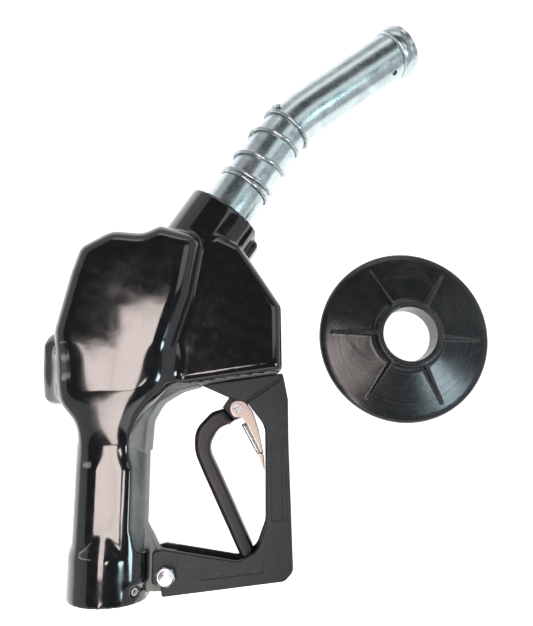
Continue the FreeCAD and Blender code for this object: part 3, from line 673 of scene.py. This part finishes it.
def lever_guard():
    """The guard: the CAD's moulding with the seam that sets its corner plate off from the post."""
    obj = copy_of("lever_guard", "lever_guard_moulded")
    start, end = mm(77.6, 108.7, 0), mm(96.6, 121.2, 0)
    along = (end - start).normalized()
    out = Vector((along.y, -along.x, 0))
    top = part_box("lever_guard")[1].z
    section = [(-1.15, 0.5), (-0.7, -1.2), (0.7, -1.2), (1.15, 0.5)]
    seams = []
    for number, side in enumerate((1, -1)):
        points = [end_point + out * (across * MM) + Z * (side * (top + height * MM))
                  for end_point in (start, end) for across, height in section]
        seam = block(f"seam_{number}", points)
        tidy_normals(seam)
        seams.append(seam)
        carve = obj.modifiers.new(f"seam_{number}", "BOOLEAN")
        carve.operation = "DIFFERENCE"
        carve.object = seam
        carve.solver = "EXACT"
    obj = finished(obj)
    for seam in seams:
        bpy.data.objects.remove(seam)
    place_piece(obj, "housing", "guard_composite", "lever_guard")
    shade_by_angle(obj)


def guard_bolt():
    """The bolt through the guard: hex head on a thin flange, with a dab of red paint."""
    low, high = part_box("guard_bolt")
    middle = (low + high) / 2
    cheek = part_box("lever_guard")[1].z
    flange = Vector((middle.x, middle.y, cheek))
    lift = 0.5 * MM
    washer_outline = [(0.5, 0), (4.9, 0), (5.0, 0.25), (4.8, 0.6), (0.5, 0.7)]
    shank_outline = [(0.2, 0.2), (3, 0.2), (3, -26.0), (2.4, -26.5), (0.2, -26.5)]
    washer = lathe("bolt_flange", [(r * MM, h * MM) for r, h in washer_outline], flange, Z, 96)
    head = hex_solid("bolt_head", 9.6 * MM, high.z - cheek - lift, flange + Z * lift, Z,
                     chamfer=0.55, dish=0.35 * MM)
    shank = lathe("bolt_shank", [(r * MM, h * MM) for r, h in shank_outline], flange, Z, 64)
    dab = (middle.x + 0.4 * MM, middle.y - 5.6 * MM, cheek + 1.5 * MM)
    red = (0.42, 0.02, 0.03)
    zinc = plated("bolt_zinc", (0.60, 0.62, 0.64), (0.30, 0.33, 0.36), 420, (0.20, 0.38),
                  (dab, 2.2 * MM, red))
    formed = join("guard_bolt_formed", [washer, head, shank])
    obj = place_piece(formed, "housing", "zinc_steel", "guard_bolt")
    obj.data.materials[0] = zinc
    shade_by_angle(obj)


def splash_guard():
    """The rubber dish: a shallow cone with a rolled rim, a hub and six tapering ribs."""
    low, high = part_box("splash_guard")
    base = Vector(((low.x + high.x) / 2, (low.y + high.y) / 2, low.z))
    rim = (high.x - low.x) / 2 / MM
    tall = (high.z - low.z) / MM
    bore = mounts["splash_guard_bore"]["dims"]["r_mm"]
    outline = [(bore, 0.6), (bore, tall - 0.7), (bore + 0.6, tall), (20.6, tall), (21.2, tall - 0.8),
               (21.6, 14.0), (22.6, 12.4), (24.5, 11.6), (38, 8.6), (rim - 4.2, 5.2), (rim - 1.6, 4.2),
               (rim - 0.4, 3.0), (rim, 1.4), (rim - 0.5, 0), (rim - 2.2, 0), (rim - 3.4, 1.8), (38, 5.6),
               (24.5, 8.2), (21.4, 8.0), (20.6, 6.2), (20.4, 0.6)]
    parts = [lathe("dish", [(r * MM, h * MM) for r, h in outline], base, Z, 160)]
    for number in range(6):
        turn = Matrix.Rotation(math.radians(60 * number - 3), 3, "Z")
        section = [(20.4, 9.0, 1.5), (20.4, tall - 1.2, 1.3), (48.5, 6.7, 0.3), (48.5, 5.2, 0.3)]
        points = [base + turn @ mm(x, side * half, z) for side in (1, -1) for x, z, half in section]
        parts.append(block(f"rib_{number}", points))
    obj = fuse(join("splash_guard_moulded", parts), voxel=0.55 * MM, passes=3)
    place_piece(obj, "splash_guard", "disc_rubber", "splash_guard")


def hold_open_clip():
    """The hold-open clip, folded from one sheet: cheeks, a rounded spine and a pointed finger. Its two folds get
    the brighter wire finish as a painted highlight.
    """
    low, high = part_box("hold_open_clip")
    half = (high.z - low.z) / 2 / MM
    sheet = 1.3
    fold_depth = 1.45
    fold_radius = 1.3
    cheek = [(67.2, 105.0, 4.2), (69.4, 109.5, 4.2), (76.2, 108.8, 4.2), (81, 102.6, 9), (84.4, 92, 14),
             (86.9, 79.9, 0.3), (85.5, 79.1, 0.3), (77.0, 96.0, 0.8), (75.4, 99.0, 1.2),
             (68.8, 99.5, 3.6)]
    parts = [slab("cheek_up", cheek, half - sheet, half, 0.3),
             slab("cheek_down", cheek, -half, sheet - half, 0.3)]
    spine = [(76.4, 94.6), (85.2, 78.9), (86.4, 79.6), (77.6, 96.2)]
    parts.append(slab("spine", [(x, y, 0.4) for x, y in spine], sheet * 0.5 - half, half - sheet * 0.5))
    finger = [(83.9, 79.4, 0.3), (85.0, 75.4, 1.2), (88.0, 67.9, 0.35), (87.6, 76.0, 2.5), (86.6, 80.6, 0.4)]
    parts.append(slab("finger", finger, half - sheet - 1.6, half - 1.6, 0.25))
    clip = fuse(join("hold_open_clip_folded", parts), voxel=0.28 * MM, passes=2)
    place_piece(clip, "clip", "clip_zinc", "hold_open_clip")
    # The folds are tubes in the bright wire_steel finish, not the clip's zinc: a painted highlight where the sheet
    # bends.
    for name, side in (("clip_fold_highlight_up", 1), ("clip_fold_highlight_down", -1)):
        height = side * (half - fold_depth)
        start, end = mm(75.4, 95.6, height), mm(84.6, 78.7, height)
        highlight_fold = tube(name, [start.lerp(end, i / 12) for i in range(13)], fold_radius * MM)
        place_piece(highlight_fold, "clip", "wire_steel")


# Studio ------------------------------------------------------------------------------


def studio():
    """A pale floor that turns up into a wall all round, soft lights and a dim sky. The floor glows as painted
    light, white round the nozzle and greyer farther off.
    """
    middle = (cad_low + cad_high) / 2
    floor = Vector((middle.x, middle.y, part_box("splash_guard")[0].z - 0.2 * MM))
    flat, curve, top = 1.9, 0.9, 2.2
    profile = [(flat, 0.0)]
    profile += [(flat + curve * math.sin(math.radians(a)), curve - curve * math.cos(math.radians(a)))
                for a in range(10, 91, 10)]
    profile.append((flat + curve, top))
    points, faces = [], []
    segments = 96
    rows = len(profile)
    for step in range(segments):
        angle = math.tau * step / segments
        out = Vector((math.cos(angle), math.sin(angle), 0))
        points += [floor + out * r + Z * h for r, h in profile]
        here, ahead = step * rows, (step + 1) % segments * rows
        for row in range(rows - 1):
            faces.append((here + row, ahead + row, ahead + row + 1, here + row + 1))
    points.append(floor)
    faces += [(len(points) - 1, step * rows, (step + 1) % segments * rows) for step in range(segments)]
    backdrop = finished(mesh_piece("backdrop", points, faces))
    # The backdrop glows: painted light, full white round the nozzle and fading to grey farther away.
    pale = Finish("glowing_backdrop", Roughness=0.9, Emission_Strength=0.86)
    pale.shader.inputs["Base Color"].default_value = (0.86, 0.86, 0.86, 1)
    away = pale.add("ShaderNodeVectorMath", {1: tuple(middle)}, {0: pale.place})
    away.operation = "DISTANCE"
    fade = pale.ramp(away.outputs["Value"], 0.35, 1.3)
    pale.use(Emission_Color=pale.mix(fade, (1.0, 1.0, 1.0), (0.30, 0.30, 0.31)))
    backdrop.data.materials.append(pale.material)

    def soft_light(name, place, target, width, height, watts, colour=(1, 1, 1)):
        """An area light at a place, turned to a target, of a width and height in metres."""
        data = bpy.data.lights.new(name, "AREA")
        data.shape = "RECTANGLE"
        data.size, data.size_y = width, height
        data.energy = watts
        data.color = colour
        lamp = bpy.data.objects.new(name, data)
        bpy.context.scene.collection.objects.link(lamp)
        lamp.location = place
        lamp.rotation_mode = "QUATERNION"
        lamp.rotation_quaternion = (Vector(target) - Vector(place)).to_track_quat("-Z", "Y")

    pink = (1.0, 0.87, 0.83)
    soft_light("overhead", (-0.083, 0.062, 0.63), (-0.083, 0.062, 0.0), 0.088, 0.42, 1.2, pink)
    soft_light("overhead_side", (-0.160, 0.024, 0.63), (-0.160, 0.024, 0.0), 0.062, 0.348, 0.70, pink)
    soft_light("overhead_low", (-0.115, -0.385, 0.56), (-0.02, 0.08, 0.02), 0.10, 0.47, 1.4, pink)
    soft_light("left", (-1.0, 0.1, 0.62), middle, 0.05, 0.9, 0.4)
    soft_light("right", (0.66, -0.12, 0.66), (0.19, 0.12, 0), 0.22, 0.24, 2.6, (0.72, 0.93, 1.0))
    soft_light("disc_sheen", (0.05, -0.03, 0.66), (0.12, 0.08, 0), 0.07, 0.12, 0.3, pink)
    soft_light("spout", (0.50, 0.34, 0.66), (0.15, 0.30, 0), 0.24, 0.42, 0.42, (0.94, 1.0, 1.0))
    soft_light("top", (0.1, 1.25, 0.7), middle, 0.9, 0.35, 1.2)
    soft_light("bottom", (0.1, -1.1, 0.7), middle, 0.9, 0.35, 0.9)

    world = bpy.data.worlds.new("sky")
    world.use_nodes = True
    world.node_tree.nodes["Background"].inputs["Color"].default_value = (0.09, 0.093, 0.097, 1)
    bpy.context.scene.world = world
    bpy.context.scene.view_settings.view_transform = "Standard"


def camera():
    """Above the nozzle, turned and tilted a little, as it was seen."""
    data = bpy.data.cameras.new("camera")
    place = (0.0791, 0.1038, 0.355)
    aside, forward = math.radians(-1.6), math.radians(9.3)
    data.lens = 33.93
    data.sensor_width = 36
    data.clip_start = 0.01
    cam = bpy.data.objects.new("camera", data)
    bpy.context.scene.collection.objects.link(cam)
    turn = Matrix.Rotation(aside, 4, "Y") @ Matrix.Rotation(forward, 4, "X")
    cam.matrix_world = Matrix.Translation(place) @ turn
    bpy.context.scene.camera = cam


camera()
studio()
dress_cad_nodes()
hand_cover()
lever_grip()
spout_spring()
spout_collar()
lever_guard()
guard_bolt()
hold_open_clip()
splash_guard()
